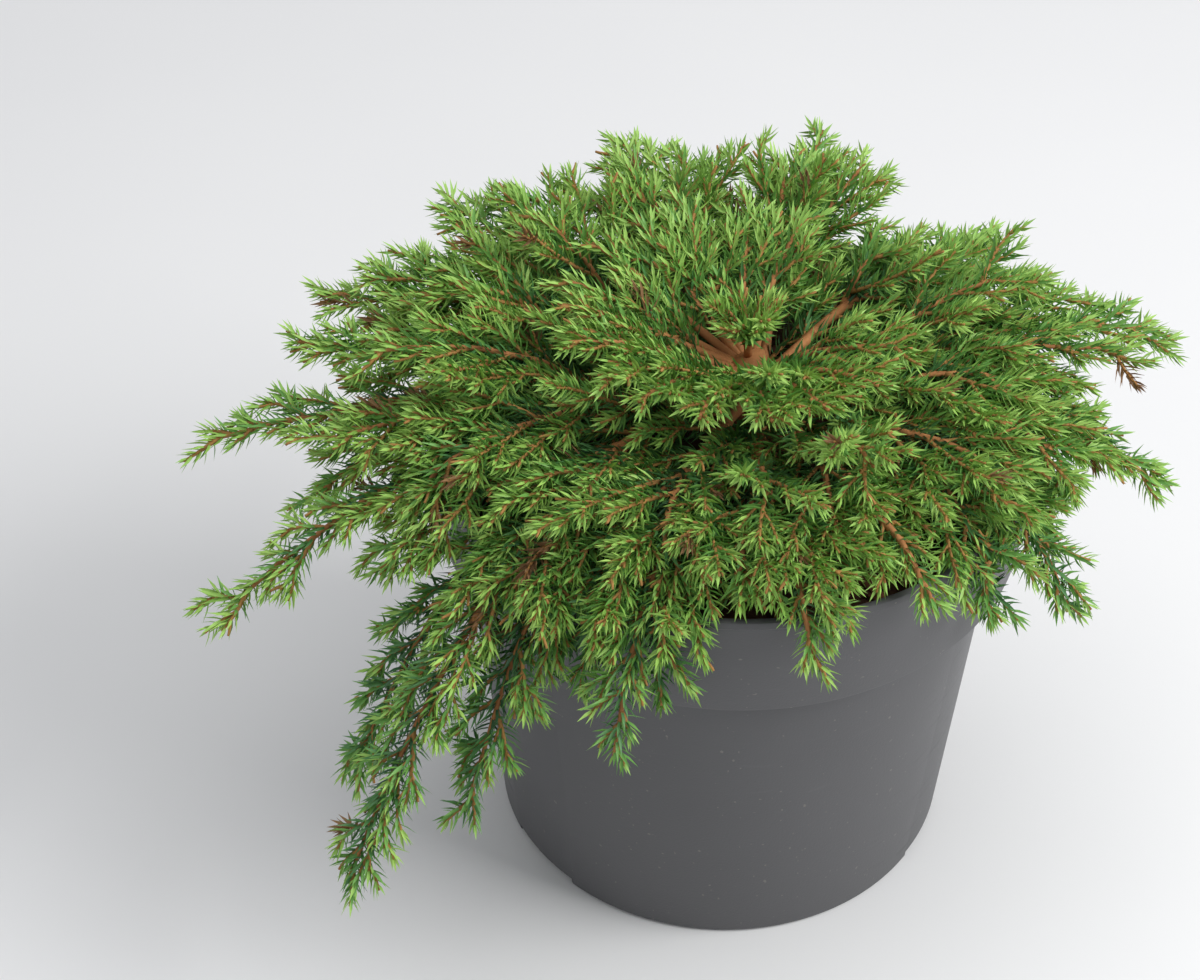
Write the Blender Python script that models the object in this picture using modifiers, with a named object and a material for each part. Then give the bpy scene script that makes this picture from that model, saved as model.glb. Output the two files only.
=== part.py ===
"""A potted common juniper of the low, spreading kind.

A short stem stands in a filled nursery pot. Limbs radiate from it, and each one carries a mass of
needle sprays: long plumes that reach past the rim and weep over it on one side, and shorter tufts
that close the middle. Metres, +Z up. The origin is the centre of the pot's flat underside.
"""

import math
import random

import bmesh
import bpy
from mathutils import Matrix, Vector, noise

# Pot: a turned plastic shell with an upright collar, a small ledge under it and a beaded lip
POT_HEIGHT = 0.172
RIM_RADIUS = 0.1024
LIP_WIDTH = 0.0026
LIP_DEPTH = 0.0028
LIP_ROUND = 0.0007
COLLAR_RADIUS = 0.0983
COLLAR_HEIGHT = 0.0425
BODY_TOP_RADIUS = 0.0905
BASE_RADIUS = 0.0803
WALL = 0.0018
FLOOR = 0.0025
FLOOR_CHAMFER = 0.0075
FOOT_ROUND = 0.0010
POT_SIDES = 48

# Drain notches: shallow arches cut in the foot, each with one hole through its roof
NOTCH_AZIMUTHS = (96, 216, 336)
NOTCH_WIDTH = 0.032
NOTCH_HEIGHT = 0.0034
NOTCH_DEPTH = 0.0050
DRAIN_RADIUS = 0.0022
DRAIN_SIDES = 8

# Growing medium: fills the pot, with its lumpy surface a little below the lip
CLEARANCE = 0.0003
SOIL_HEIGHT = 0.159
SOIL_RINGS = (0.016, 0.040, 0.064, 0.086)
SOIL_RELIEF = 0.0022
SOIL_SIDES = 32

# Stem: short, leaning a little, with a flare at its foot
STEM_FOOT = Vector((0.008, 0.000, SOIL_HEIGHT + CLEARANCE))
STEM_LEAN = Vector((-0.004, 0.003, 0.0))
STEM_HEIGHT = 0.032
STEM_RADIUS = 0.0078
STEM_FLARE = 0.0135
STEM_TOP_RADIUS = 0.0058

# Outer limbs: azimuth in degrees from the right-hand side, reach of the plume's tip from the
# pot's axis, and height of that tip
OUTER_LIMBS = (
    (14, 0.156, 0.172),
    (350, 0.144, 0.155),
    (326, 0.129, 0.142),
    (300, 0.118, 0.172),
    (276, 0.119, 0.162),
    (252, 0.130, 0.132),
    (226, 0.184, 0.088),
    (203, 0.178, 0.140),
    (186, 0.177, 0.172),
    (166, 0.148, 0.192),
    (142, 0.127, 0.202),
    (108, 0.126, 0.200),
    (72, 0.129, 0.200),
    (42, 0.122, 0.186),
)
OUTER_END = 0.050
OUTER_CREST = 0.188
OUTER_LEVELS = (0.0085, 0.0175)
OUTER_RISE = 22.0
OUTER_ROOT = 0.0021
OUTER_TIP = 0.0015
RIM_CREST = 0.192
RIM_OVER = 0.004
DROOP_BELOW = 0.18
ENTRY_LENGTH = 0.003
PLUME_PARTS = 4

# Inner limbs: azimuths of the tufts over the middle, which leave a gap on the stem's right
INNER_AZIMUTHS = (90, 150, 205, 262, 322)
INNER_START = 0.016
INNER_END = 0.023
INNER_CREST = 0.201
INNER_LEVEL = 0.0262
INNER_RISE = 48.0
INNER_ROOT = 0.0016
INNER_TIP = 0.0012
TUFT_REACH = 0.052
TUFT_HEIGHT = 0.2245
LIMB_POINTS = 5

# Tuft that stands on the stem
CROWN_RADIUS = 0.0150
CROWN_HEIGHT = 0.2285

# Twigs and needle sprays
STALK_ROOT = 0.0014
STALK_TIP = 0.0008
TWIG_ROOT = 0.0010
TWIG_TIP = 0.0006
TWIG_SIDES = 3
PLUME_TWIG = 0.013
TUFT_TWIG = 0.008
TWIG_STEP = 0.0095
FEWEST_TWIGS = 6
MOST_TWIGS = 11
SHORT_TWIG = 0.009
TWIG_SPREAD = 46.0
SPRAY_LENGTH = 0.041
SPRAY_WIDTH = 0.0250
SPRAY_THICKNESS = 0.0009
SPRAY_CORE = 0.0030
SPRAY_TEETH = 3
SPRAY_STALK = 0.14
SPRAY_TAIL = 0.17
SPRAY_SUNK = 0.0030
SPRAY_TRIES = ((1.0, 0.2), (0.9, 0.6), (0.75, 1.0), (0.6, 1.6))
LIMB_MARGIN = 0.0012
SPACE_MARGIN = 0.0004
POT_MARGIN = 0.0016
SEED = 7

COLOURS = {
    "pot": ((0.060, 0.060, 0.062), 0.55),
    "soil": ((0.085, 0.040, 0.022), 0.95),
    "bark": ((0.330, 0.130, 0.045), 0.80),
    "needles": ((0.080, 0.240, 0.045), 0.60),
}


def clear_scene():
    """Empties the file of objects."""
    for old in list(bpy.data.objects):
        bpy.data.objects.remove(old, do_unlink=True)


def make_collection(name):
    """Makes a collection in the scene."""
    group = bpy.data.collections.new(name)
    bpy.context.scene.collection.children.link(group)
    return group


def make_material(name, finish):
    """Makes a plain material from one of COLOURS."""
    colour, roughness = COLOURS[finish]
    material = bpy.data.materials.new(name)
    material.use_nodes = True
    shader = material.node_tree.nodes["Principled BSDF"]
    shader.inputs["Base Color"].default_value = (*colour, 1.0)
    shader.inputs["Roughness"].default_value = roughness
    shader.inputs["Metallic"].default_value = 0.0
    return material


def add_object(name, mesh, finish, group):
    """Adds a mesh to a collection as one object with a material of its own."""
    thing = bpy.data.objects.new(name, mesh)
    mesh.materials.clear()
    mesh.materials.append(make_material(name, finish))
    group.objects.link(thing)
    return thing


def evaluated_mesh(thing):
    """Returns a new mesh of the object with its modifiers applied, in world space."""
    graph = bpy.context.evaluated_depsgraph_get()
    mesh = bpy.data.meshes.new_from_object(thing.evaluated_get(graph), depsgraph=graph)
    mesh.transform(thing.matrix_world)
    return mesh


def outward(azimuth):
    """Unit vector in the ground plane at an azimuth in degrees."""
    angle = math.radians(azimuth)
    return Vector((math.cos(angle), math.sin(angle), 0.0))


def turn(name, profile, sides, finish, group):
    """Turns a profile of (radius, height) points about Z, from the axis round to the axis."""
    mesh = bpy.data.meshes.new(name)
    points = [(radius, 0.0, height) for radius, height in profile]
    edges = [(i, i + 1) for i in range(len(points) - 1)]
    mesh.from_pydata(points, edges, [])
    thing = add_object(name, mesh, finish, group)
    screw = thing.modifiers.new("turn", "SCREW")
    screw.steps = sides
    screw.render_steps = sides
    screw.use_merge_vertices = True
    screw.merge_threshold = 0.00001
    screw.use_smooth_shade = True
    return thing


def body_radius(height):
    """Outer radius of the pot's body below its collar."""
    share = height / (POT_HEIGHT - COLLAR_HEIGHT)
    return BASE_RADIUS + (BODY_TOP_RADIUS - BASE_RADIUS) * share


def build_pot(group, cutters):
    """Turned shell: inside from the floor's centre up to the lip, then down the outside."""
    ledge = POT_HEIGHT - COLLAR_HEIGHT
    inner_foot = body_radius(FLOOR) - WALL
    profile = (
        (0.0, FLOOR),
        (inner_foot - FLOOR_CHAMFER, FLOOR),
        (inner_foot, FLOOR + FLOOR_CHAMFER),
        (BODY_TOP_RADIUS - WALL, ledge + WALL),
        (COLLAR_RADIUS - WALL, ledge + 2.0 * WALL),
        (RIM_RADIUS - LIP_WIDTH, POT_HEIGHT - LIP_ROUND),
        (RIM_RADIUS - LIP_WIDTH + LIP_ROUND, POT_HEIGHT),
        (RIM_RADIUS - LIP_ROUND, POT_HEIGHT),
        (RIM_RADIUS, POT_HEIGHT - LIP_ROUND),
        (RIM_RADIUS, POT_HEIGHT - LIP_DEPTH),
        (RIM_RADIUS - LIP_ROUND, POT_HEIGHT - LIP_DEPTH - LIP_ROUND),
        (COLLAR_RADIUS, ledge),
        (BODY_TOP_RADIUS, ledge),
        (BASE_RADIUS, FOOT_ROUND),
        (BASE_RADIUS - FOOT_ROUND, 0.0),
        (0.0, 0.0),
    )
    pot = turn("pot", profile, POT_SIDES, "pot", group)
    for index, azimuth in enumerate(NOTCH_AZIMUTHS):
        cut_notch(pot, index, azimuth, cutters)
    return pot


def cut_notch(pot, index, azimuth, cutters):
    """Cuts an arch under the foot at one azimuth and drills a drain hole through its roof."""
    block = bmesh.new()
    bmesh.ops.create_cube(block, size=1.0)
    size = Vector((2.0 * NOTCH_DEPTH, NOTCH_WIDTH, 2.0 * NOTCH_HEIGHT))
    bmesh.ops.scale(block, vec=size, verts=block.verts)
    drill = bmesh.new()
    bmesh.ops.create_cone(
        drill,
        cap_ends=True,
        segments=DRAIN_SIDES,
        radius1=DRAIN_RADIUS,
        radius2=DRAIN_RADIUS,
        depth=4.0 * FLOOR_CHAMFER,
    )
    swing = Matrix.Rotation(math.radians(azimuth), 4, "Z")
    inset = BASE_RADIUS - NOTCH_DEPTH + DRAIN_RADIUS * 0.5
    for label, shape, radius in (("notch", block, BASE_RADIUS), ("drain", drill, inset)):
        place = swing @ Matrix.Translation((radius, 0.0, 0.0))
        bmesh.ops.transform(shape, matrix=place, verts=shape.verts)
        mesh = bpy.data.meshes.new(f"{label}_{index}")
        shape.to_mesh(mesh)
        shape.free()
        cutter = add_object(f"{label}_cutter_{index}", mesh, "pot", cutters)
        cutter.hide_render = True
        cutter.display_type = "WIRE"
        cut = pot.modifiers.new(f"{label}_{index}", "BOOLEAN")
        cut.operation = "DIFFERENCE"
        cut.object = cutter


def build_soil(group):
    """Filled medium that follows the pot's inside, with relief on its surface away from the stem."""
    ledge = POT_HEIGHT - COLLAR_HEIGHT
    inner_foot = body_radius(FLOOR) - WALL - CLEARANCE
    share = (SOIL_HEIGHT - ledge - 2.0 * WALL) / (COLLAR_HEIGHT - 2.0 * WALL)
    rim_inside = RIM_RADIUS - LIP_WIDTH
    collar_inside = COLLAR_RADIUS - WALL
    top_radius = collar_inside + (rim_inside - collar_inside) * share - 2.0 * CLEARANCE
    profile = [(0.0, SOIL_HEIGHT)]
    profile += [(radius, SOIL_HEIGHT) for radius in SOIL_RINGS]
    profile += [
        (top_radius, SOIL_HEIGHT),
        (collar_inside - 2.0 * CLEARANCE, ledge + 2.0 * WALL + CLEARANCE),
        (BODY_TOP_RADIUS - WALL - 2.0 * CLEARANCE, ledge + WALL),
        (inner_foot - CLEARANCE, FLOOR + FLOOR_CHAMFER + CLEARANCE),
        (inner_foot - FLOOR_CHAMFER - CLEARANCE, FLOOR + CLEARANCE),
        (0.0, FLOOR + CLEARANCE),
    ]
    blank = turn("soil_blank", profile, SOIL_SIDES, "soil", group)
    mesh = evaluated_mesh(blank)
    bpy.data.objects.remove(blank, do_unlink=True)
    for vertex in mesh.vertices:
        radius = math.hypot(vertex.co.x, vertex.co.y)
        raised = radius > 1.5 * SOIL_RINGS[0] and vertex.co.z > SOIL_HEIGHT - CLEARANCE
        if raised and radius < top_radius - CLEARANCE:
            vertex.co.z += SOIL_RELIEF * noise.noise(vertex.co * 60.0)
    return add_object("soil", mesh, "soil", group)


def tapered_tube(name, points, radii, sides_level, finish, group):
    """Round limb along a line of points with a radius at each, as one closed mesh."""
    curve = bpy.data.curves.new(name, "CURVE")
    curve.dimensions = "3D"
    curve.bevel_depth = 1.0
    curve.bevel_resolution = sides_level
    curve.use_fill_caps = True
    line = curve.splines.new("POLY")
    line.points.add(len(points) - 1)
    for spot, point, radius in zip(line.points, points, radii):
        spot.co = (*point, 1.0)
        spot.radius = radius
    guide = bpy.data.objects.new(name + "_line", curve)
    group.objects.link(guide)
    mesh = evaluated_mesh(guide)
    bpy.data.objects.remove(guide, do_unlink=True)
    shape = bmesh.new()
    shape.from_mesh(mesh)
    bmesh.ops.remove_doubles(shape, verts=shape.verts, dist=0.00001)
    bmesh.ops.recalc_face_normals(shape, faces=shape.faces)
    shape.to_mesh(mesh)
    shape.free()
    mesh.name = name
    return add_object(name, mesh, finish, group)


def stem_point(rise):
    """Centre of the stem at a height above its foot."""
    return STEM_FOOT + STEM_LEAN * (rise / STEM_HEIGHT) ** 2 + Vector((0.0, 0.0, rise))


def stem_radius(rise):
    """Radius of the stem at a height above its foot: a flare that dies out, then a slow taper."""
    share = rise / STEM_HEIGHT
    taper = STEM_RADIUS + (STEM_TOP_RADIUS - STEM_RADIUS) * share
    return taper + (STEM_FLARE - STEM_RADIUS) * math.exp(-rise / 0.0028)


def build_stem(group):
    """Short stem from its flat cut on the medium to its top."""
    rises = [0.0, 0.0015, 0.004, 0.008, 0.014, 0.022, STEM_HEIGHT]
    points = [stem_point(rise) for rise in rises]
    points[1].xy = points[0].xy
    return tapered_tube("stem", points, [stem_radius(r) for r in rises], 4, "bark", group)


def bezier(start, middle, end, share):
    """Point on a quadratic curve."""
    back = 1.0 - share
    return start * back * back + middle * 2.0 * back * share + end * share * share


class Limb:
    """One tapering bough from the stem's side to where its mass begins."""

    def __init__(self, name, azimuth, level, rise, end, root, tip):
        self.name = name
        self.radii = [root + (tip - root) * i / (LIMB_POINTS - 1) for i in range(LIMB_POINTS)]
        foot = stem_point(level)
        heading = (end - foot) * Vector((1.0, 1.0, 0.0))
        slope = math.radians(rise)
        along = heading.normalized() * math.cos(slope) + Vector((0.0, 0.0, math.sin(slope)))
        away = stem_radius(level) + CLEARANCE + root * math.sin(slope)
        start = foot + heading.normalized() * away
        middle = start + along * heading.length * 0.45
        self.points = [bezier(start, middle, end, i / (LIMB_POINTS - 1)) for i in range(LIMB_POINTS)]
        self.tip_direction = (self.points[-1] - self.points[-2]).normalized()

    def build(self, group):
        """Adds the bough's solid."""
        tapered_tube(self.name, self.points, self.radii, 1, "bark", group)

    def next_point(self):
        """Where the mass's own stem starts, just clear of the bough's end."""
        return self.points[-1] + self.tip_direction * (CLEARANCE * 1.3)

    def distance(self, point):
        """Clear distance from a point to the bough's surface."""
        nearest = 1.0
        for a, b, radius in zip(self.points, self.points[1:], self.radii):
            span = b - a
            share = min(max((point - a).dot(span) / span.length_squared, 0.0), 1.0)
            nearest = min(nearest, (point - a - span * share).length - radius)
        return nearest


class Space:
    """The convex room a mass keeps to, as planes (normal, offset) that it stays behind."""

    def __init__(self, planes):
        self.planes = planes

    def holds(self, points):
        """Tells whether every point is inside."""
        for normal, offset in self.planes:
            if any(point.dot(normal) > offset - SPACE_MARGIN for point in points):
                return False
        return True


def sector_planes(before, after):
    """Planes that keep to azimuths between two angles in degrees, counted anticlockwise."""
    left = outward(after + 90.0)
    right = outward(before - 90.0)
    return [(left, 0.0), (right, 0.0)]


def clears_pot(point):
    """Tells whether a point stays off the pot's rim, wall and filling."""
    radius = math.hypot(point.x, point.y)
    over_rim = point.z > POT_HEIGHT + POT_MARGIN
    outside = radius > RIM_RADIUS + POT_MARGIN and point.z > FOOT_ROUND
    in_mouth = radius < COLLAR_RADIUS - WALL - POT_MARGIN and point.z > SOIL_HEIGHT + SOIL_RELIEF
    return over_rim or outside or in_mouth


def spray_outline(length, width):
    """Corners of a toothed spray, flat, pointing along +X: stations, teeth and tip."""
    first = SPRAY_STALK * length
    step = (length * (1.0 - SPRAY_TAIL) - first) / SPRAY_TEETH
    notches = []
    teeth = []
    for k in range(SPRAY_TEETH + 1):
        x = first + step * k
        core = SPRAY_CORE * (1.0 - 0.5 * x / length)
        notches.append((x, core))
        swell = math.sin(math.pi * (0.24 + 0.52 * (k + 0.6) / SPRAY_TEETH))
        teeth.append((x + step * 0.98, 0.5 * width * swell))
    return notches, teeth[:SPRAY_TEETH]


def spray_mesh(name, length, width):
    """Blade with a ridge above and below and needle teeth on both edges. No primitive makes it."""
    notches, teeth = spray_outline(length, width)
    shape = bmesh.new()
    root = shape.verts.new((0.0, 0.0, 0.0))
    tip = shape.verts.new((length, 0.0, 0.0))
    edge = {}
    for side in (1, -1):
        edge[side] = [shape.verts.new((x, side * y, 0.0)) for x, y in notches]
        edge[side, "teeth"] = [shape.verts.new((x, side * y, 0.0)) for x, y in teeth]
    for top in (1, -1):
        ridge = []
        for x, core in notches[:-1]:
            height = top * SPRAY_THICKNESS * (1.0 - 0.4 * x / length)
            ridge.append(shape.verts.new((x + 0.1 * core, 0.0, height)))
        for side in (1, -1):
            notch = edge[side]
            tooth = edge[side, "teeth"]
            faces = [(root, ridge[0], notch[0])]
            for k, peak in enumerate(ridge):
                faces.append((notch[k], peak, tooth[k]))
                faces.append((tooth[k], peak, notch[k + 1]))
                ahead = ridge[k + 1] if k + 1 < len(ridge) else tip
                faces.append((notch[k + 1], peak, ahead))
            for corners in faces:
                shape.faces.new(corners if top * side > 0 else corners[::-1])
    bmesh.ops.recalc_face_normals(shape, faces=shape.faces)
    mesh = bpy.data.meshes.new(name)
    shape.to_mesh(mesh)
    shape.free()
    return mesh


def twig_mesh(name, length):
    """Three-sided tapering twig along +X from the origin."""
    shape = bmesh.new()
    bmesh.ops.create_cone(
        shape,
        cap_ends=True,
        segments=TWIG_SIDES,
        radius1=TWIG_ROOT,
        radius2=TWIG_TIP,
        depth=length,
    )
    place = Matrix.Rotation(math.radians(90.0), 4, "Y") @ Matrix.Translation((0.0, 0.0, length / 2.0))
    bmesh.ops.transform(shape, matrix=place, verts=shape.verts)
    mesh = bpy.data.meshes.new(name)
    shape.to_mesh(mesh)
    shape.free()
    return mesh


def frame_along(origin, direction, up, roll):
    """Matrix whose X runs along a direction and whose Z leans towards up, rolled by degrees."""
    x = direction.normalized()
    y = up.cross(x).normalized()
    z = x.cross(y)
    turned = Matrix((x, y, z)).transposed().to_4x4()
    return Matrix.Translation(origin) @ turned @ Matrix.Rotation(math.radians(roll), 4, "X")


class Mass:
    """One mass of needles: a stalk, twigs that branch from it by a seeded rule, and their sprays."""

    def __init__(self, name, azimuth, points, space, limbs, seed):
        self.name = name
        self.across = Vector((0.0, 0.0, 1.0)).cross(outward(azimuth))
        self.points = points
        self.space = space
        self.limbs = limbs
        self.chance = random.Random(seed)
        self.pieces = []

    def fits(self, points):
        """Tells whether a piece keeps to the space and off the limbs and the pot."""
        if not self.space.holds(points):
            return False
        if not all(clears_pot(point) for point in points):
            return False
        return all(limb.distance(point) > LIMB_MARGIN for limb in self.limbs for point in points)

    def place(self, mesh, matrix, group):
        """Adds a piece where the matrix puts it."""
        mesh.transform(matrix)
        self.pieces.append(add_object(mesh.name, mesh, "needles", group))

    def add_spray(self, origin, direction, up, length, group):
        """Adds a needle spray if it fits."""
        width = SPRAY_WIDTH * (0.75 + 0.25 * length / SPRAY_LENGTH)
        roll = self.chance.uniform(-24.0, 24.0)
        matrix = frame_along(origin - direction * SPRAY_SUNK, direction, up, roll)
        notches, teeth = spray_outline(length, width)
        corners = [Vector((length, 0.0, 0.0))]
        corners += [Vector((x, side * y, 0.0)) for x, y in notches + teeth for side in (1, -1)]
        if not self.fits([matrix @ corner for corner in corners]):
            return False
        name = f"{self.name}_spray_{len(self.pieces)}"
        self.place(spray_mesh(name, length, width), matrix, group)
        return True

    def fit_spray(self, origin, direction, along, up, length, group):
        """Adds a spray, shorter and turned towards the stalk's direction until it fits."""
        for share, turned in SPRAY_TRIES:
            heading = (direction + along * turned).normalized()
            if self.add_spray(origin, heading, up, length * share, group):
                return

    def add_twig(self, origin, direction, length, group):
        """Adds a twig that starts inside what carries it, if it fits."""
        ends = [origin + direction * length * share for share in (0.35, 0.7, 1.0)]
        if not self.fits(ends):
            return False
        matrix = frame_along(origin, direction, Vector((0.0, 0.0, 1.0)), 30.0)
        self.place(twig_mesh(f"{self.name}_twig_{len(self.pieces)}", length), matrix, group)
        return True

    def stalk_point(self, share):
        """Point and direction of the stalk at a share of its length."""
        place = min(share, 0.999) * (len(self.points) - 1)
        index = int(place)
        a, b = self.points[index], self.points[index + 1]
        return a.lerp(b, place - index), (b - a).normalized()

    def grow(self, group, twig_length, spray_length, lift):
        """Grows twigs left, right and upward in turn along the stalk, each with its sprays."""
        total = sum((b - a).length for a, b in zip(self.points, self.points[1:]))
        count = min(max(round(total / TWIG_STEP), FEWEST_TWIGS), MOST_TWIGS)
        if twig_length < SHORT_TWIG:
            count = FEWEST_TWIGS - 2
        for k in range(count):
            share = (k + 0.55) / count
            origin, along = self.stalk_point(share)
            up = along.cross(self.across).normalized()
            aside = self.across * (1 if k % 2 else -1)
            rise = lift + (0.75 if k % 3 == 2 else 0.0)
            spread = math.radians(TWIG_SPREAD + self.chance.uniform(-8.0, 8.0))
            heading = along * math.cos(spread) + aside * math.sin(spread) + up * rise
            heading.normalize()
            ebb = 1.0 - 0.45 * share
            reach = twig_length * ebb * self.chance.uniform(0.8, 1.15)
            if not self.add_twig(origin, heading, reach, group):
                self.fit_spray(origin, heading, along, up, spray_length * 0.8, group)
                continue
            self.fit_spray(origin + heading * reach, heading, along, up, spray_length * ebb, group)
        origin, along = self.stalk_point(1.0)
        self.add_spray(origin, along, along.cross(self.across), spray_length, group)

    def build(self, group, twig_length, spray_length, lift):
        """Fuses the stalk, twigs and sprays into one solid."""
        loose = make_collection(self.name + "_pieces")
        radii = [
            STALK_ROOT + (STALK_TIP - STALK_ROOT) * i / (len(self.points) - 1)
            for i in range(len(self.points))
        ]
        stalk = tapered_tube(self.name, self.points, radii, 0, "needles", group)
        self.grow(loose, twig_length, spray_length, lift)
        union = stalk.modifiers.new("fuse", "BOOLEAN")
        union.operation = "UNION"
        union.operand_type = "COLLECTION"
        union.collection = loose
        union.solver = "MANIFOLD"
        mesh = evaluated_mesh(stalk)
        for piece in self.pieces:
            bpy.data.objects.remove(piece, do_unlink=True)
        bpy.data.collections.remove(loose)
        stalk.modifiers.clear()
        keep_largest_shell(mesh)
        stalk.data = mesh
        return stalk


def keep_largest_shell(mesh):
    """Drops loose scraps and fills sealed hollows by keeping only the shell of greatest volume."""
    shape = bmesh.new()
    shape.from_mesh(mesh)
    unseen = set(shape.verts)
    shells = []
    while unseen:
        stack = [unseen.pop()]
        shell = set(stack)
        while stack:
            for link in stack.pop().link_edges:
                for vertex in link.verts:
                    if vertex in unseen:
                        unseen.discard(vertex)
                        shell.add(vertex)
                        stack.append(vertex)
        shells.append(shell)
    shells.sort(key=len)
    doomed = [vertex for shell in shells[:-1] for vertex in shell]
    bmesh.ops.delete(shape, geom=doomed, context="VERTS")
    bmesh.ops.triangulate(shape, faces=shape.faces)
    shape.to_mesh(mesh)
    shape.free()


def middle_azimuth(first, second):
    """Azimuth halfway from the first to the second, going anticlockwise."""
    return first + ((second - first) % 360) / 2.0


def outer_limbs():
    """Boughs that carry the plumes, starting on the stem at two levels in turn."""
    limbs = []
    for index, (azimuth, _, _) in enumerate(OUTER_LIMBS):
        end = outward(azimuth) * OUTER_END + Vector((0.0, 0.0, OUTER_CREST))
        level = OUTER_LEVELS[index % 2]
        name = f"bough_{index + 1:02d}"
        limbs.append(Limb(name, azimuth, level, OUTER_RISE, end, OUTER_ROOT, OUTER_TIP))
    return limbs


def inner_limbs():
    """Short steep boughs that carry the tufts over the middle."""
    limbs = []
    for index, azimuth in enumerate(INNER_AZIMUTHS):
        end = outward(azimuth) * INNER_END + Vector((0.0, 0.0, INNER_CREST))
        name = f"inner_bough_{index + 1:02d}"
        limbs.append(Limb(name, azimuth, INNER_LEVEL, INNER_RISE, end, INNER_ROOT, INNER_TIP))
    return limbs


def plume_path(limb, azimuth, reach, height):
    """Stalk of a plume: on from the bough, over the rim, and on to one spray short of its tip."""
    start = limb.next_point()
    entry = start + limb.tip_direction * ENTRY_LENGTH
    tip = outward(azimuth) * reach + Vector((0.0, 0.0, height))
    crest = start.lerp(tip, 0.45)
    crest.z += RIM_OVER
    if height < DROOP_BELOW:
        crest = outward(azimuth) * max(0.5 * (OUTER_END + reach), RIM_RADIUS + RIM_OVER)
        crest.z = RIM_CREST
    spray = min(SPRAY_LENGTH, (tip - start).length * 0.6)
    end = tip - (tip - crest).normalized() * (spray - SPRAY_SUNK)
    return [start] + [bezier(entry, crest, end, i / PLUME_PARTS) for i in range(PLUME_PARTS + 1)]


def build_plumes(group, limbs, all_limbs):
    """Outer masses, each in the sector between its neighbours' bisectors."""
    azimuths = [row[0] for row in OUTER_LIMBS]
    for index, (azimuth, reach, height) in enumerate(OUTER_LIMBS):
        above = middle_azimuth(azimuth, azimuths[index - 1])
        below = middle_azimuth(azimuths[(index + 1) % len(azimuths)], azimuth)
        planes = sector_planes(below, above)
        planes.append((-outward(azimuth), -OUTER_END))
        points = plume_path(limbs[index], azimuth, reach, height)
        name = f"plume_{index + 1:02d}"
        mass = Mass(name, azimuth, points, Space(planes), all_limbs, SEED + index)
        mass.build(group, PLUME_TWIG, SPRAY_LENGTH, 0.10)


def build_tufts(group, limbs, all_limbs):
    """Inner masses, short of the plumes and clear of the tuft on the stem."""
    walls = [(outward(row[0]), OUTER_END) for row in OUTER_LIMBS]
    count = len(INNER_AZIMUTHS)
    for index, azimuth in enumerate(INNER_AZIMUTHS):
        below = middle_azimuth(INNER_AZIMUTHS[index - 1], azimuth)
        above = middle_azimuth(azimuth, INNER_AZIMUTHS[(index + 1) % count])
        planes = sector_planes(max(below, azimuth - 42.0), min(above, azimuth + 42.0))
        planes += walls
        planes.append((-outward(azimuth), -INNER_START))
        start = limbs[index].next_point()
        tip = outward(azimuth) * TUFT_REACH + Vector((0.0, 0.0, TUFT_HEIGHT))
        end = start.lerp(tip, 0.42)
        entry = start + limbs[index].tip_direction * ENTRY_LENGTH
        points = [start, entry, end]
        name = f"tuft_{index + 1:02d}"
        mass = Mass(name, azimuth, points, Space(planes), all_limbs, SEED + 40 + index)
        mass.build(group, TUFT_TWIG, SPRAY_LENGTH * 0.85, 0.30)


def build_crown_tuft(group, all_limbs):
    """Small upright mass that stands on the stem's top."""
    planes = [(outward(azimuth), CROWN_RADIUS) for azimuth in INNER_AZIMUTHS]
    planes.append((outward(20.0), CROWN_RADIUS * 0.8))
    start = stem_point(STEM_HEIGHT) + Vector((0.0, 0.0, CLEARANCE))
    end = Vector((-0.004, 0.004, CROWN_HEIGHT - SPRAY_LENGTH * 0.5))
    points = [start, start.lerp(end, 0.5), end]
    mass = Mass("tuft_top", 150.0, points, Space(planes), all_limbs, SEED + 60)
    mass.build(group, TUFT_TWIG * 0.7, SPRAY_LENGTH * 0.6, 0.9)


def main():
    """Builds the whole plant in its pot."""
    clear_scene()
    group = make_collection("potted_juniper")
    cutters = make_collection("cutters")
    build_pot(group, cutters)
    build_soil(group)
    build_stem(group)
    outer = outer_limbs()
    inner = inner_limbs()
    limbs = outer + inner
    for limb in limbs:
        limb.build(group)
    build_plumes(group, outer, limbs)
    build_tufts(group, inner, limbs)
    build_crown_tuft(group, limbs)


main()
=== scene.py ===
"""Looks of a potted common juniper of the low, spreading kind.

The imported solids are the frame. Each mass of foliage is grown again here by the source's rule and
carried to finer twigs and single needles; the bark, the growing medium and the pot get their
finished surfaces. Metres, +Z up, origin at the centre of the pot's flat underside.
"""

from __future__ import annotations

import logging
import math
from dataclasses import dataclass, field
from enum import Enum

import bmesh
import bpy
import numpy as np
from mathutils import Matrix, Vector

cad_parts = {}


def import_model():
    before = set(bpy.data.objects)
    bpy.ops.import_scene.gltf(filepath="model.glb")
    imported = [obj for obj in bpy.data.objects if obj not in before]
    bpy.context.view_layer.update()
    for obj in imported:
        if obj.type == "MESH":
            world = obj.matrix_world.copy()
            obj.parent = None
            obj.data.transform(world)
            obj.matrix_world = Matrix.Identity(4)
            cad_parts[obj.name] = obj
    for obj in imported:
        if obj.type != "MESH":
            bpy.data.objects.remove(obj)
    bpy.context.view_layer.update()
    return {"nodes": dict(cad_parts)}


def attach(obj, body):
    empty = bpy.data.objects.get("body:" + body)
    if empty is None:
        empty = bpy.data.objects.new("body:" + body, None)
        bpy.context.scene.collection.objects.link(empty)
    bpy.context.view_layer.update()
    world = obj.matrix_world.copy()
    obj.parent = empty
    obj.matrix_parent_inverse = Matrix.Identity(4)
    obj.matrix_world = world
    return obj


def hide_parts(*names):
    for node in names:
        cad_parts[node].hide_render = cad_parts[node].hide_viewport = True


log = logging.getLogger("juniper")

Colour = tuple[float, float, float]

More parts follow.
